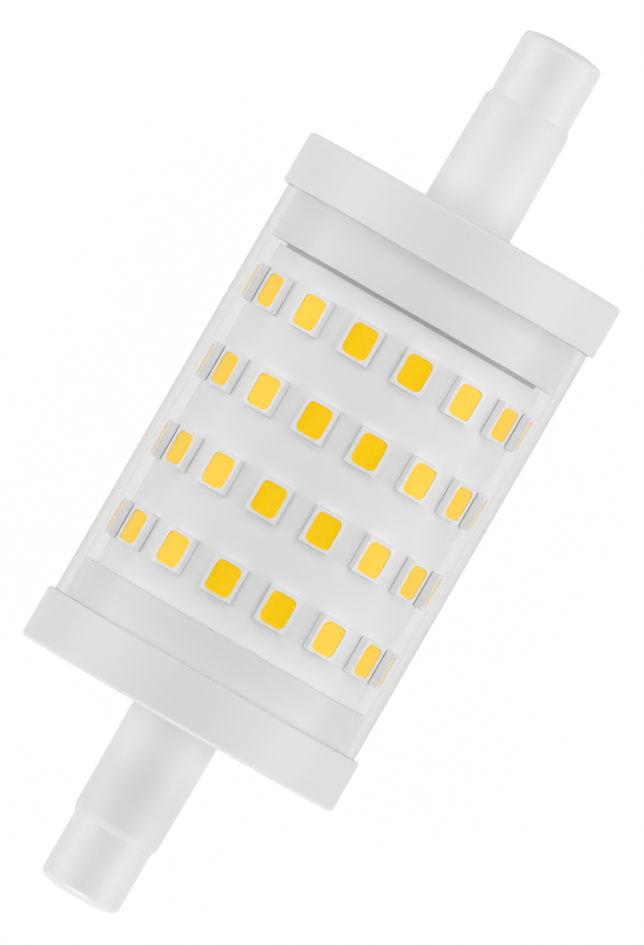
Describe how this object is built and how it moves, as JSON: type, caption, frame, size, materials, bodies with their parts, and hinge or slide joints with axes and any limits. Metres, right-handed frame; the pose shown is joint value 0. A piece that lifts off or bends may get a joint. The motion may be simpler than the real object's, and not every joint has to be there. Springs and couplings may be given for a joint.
{
  "type": "linear led bulb",
  "caption": "Double-ended linear LED lamp: clear cover tube round a drum of yellow LEDs on a white board, between white round end caps with necks and recessed-contact tips.",
  "frame": {"origin": "middle of the lamp, on its axis", "axes": "+X along the lamp's axis to its upper end, +Z to the front of the LED drum, between two columns of LEDs"},
  "size_m": [0.078, 0.0284, 0.0284],
  "materials": {
    "cap_plastic": "moulded white PBT, fine satin",
    "tip_ceramic": "fired white steatite, satin",
    "contact_metal": "nickel-plated brass",
    "cover_clear": "clear extruded polycarbonate, gloss",
    "core_ceramic": "fired white alumina, matt",
    "board_white": "white solder mask on a thin metal-core board",
    "led_white": "moulded white LED package",
    "phosphor": "yellow phosphor in clear silicone, gloss",
    "pin_metal": "tinned brass",
    "driver_laminate": "green glass-fibre laminate",
    "lead_insulation": "white silicone insulation",
    "resistor_coat": "grey-green flameproof coat",
    "varistor_coat": "blue epoxy coat",
    "ferrite": "sintered ferrite with a wound coil",
    "can_film": "dark film on an aluminium can",
    "package_black": "moulded black epoxy"
  },
  "bodies": {
    "root": {"upper_end_cap": "cap_plastic", "lower_end_cap": "cap_plastic", "upper_contact_sleeve": "tip_ceramic", "lower_contact_sleeve": "tip_ceramic", "upper_contact": "contact_metal", "lower_contact": "contact_metal", "cover_tube": "cover_clear", "core_tube": "core_ceramic", "led_board": "board_white", "feed_pins": "pin_metal", "driver_board": "driver_laminate", "upper_lead_wire": "lead_insulation", "lower_lead_wire": "lead_insulation", "fusible_resistor": "resistor_coat", "varistor": "varistor_coat", "filter_choke": "ferrite", "power_inductor": "ferrite", "input_capacitor": "can_film", "output_capacitor": "can_film", "bridge_rectifier": "package_black", "driver_chip": "package_black", "freewheel_diode": "package_black", "led_housings_ring_1": "led_white", "led_phosphors_ring_1": "phosphor", "led_housings_ring_2": "led_white", "led_phosphors_ring_2": "phosphor", "led_housings_ring_3": "led_white", "led_phosphors_ring_3": "phosphor", "led_housings_ring_4": "led_white", "led_phosphors_ring_4": "phosphor"}
  },
  "joints": []
}
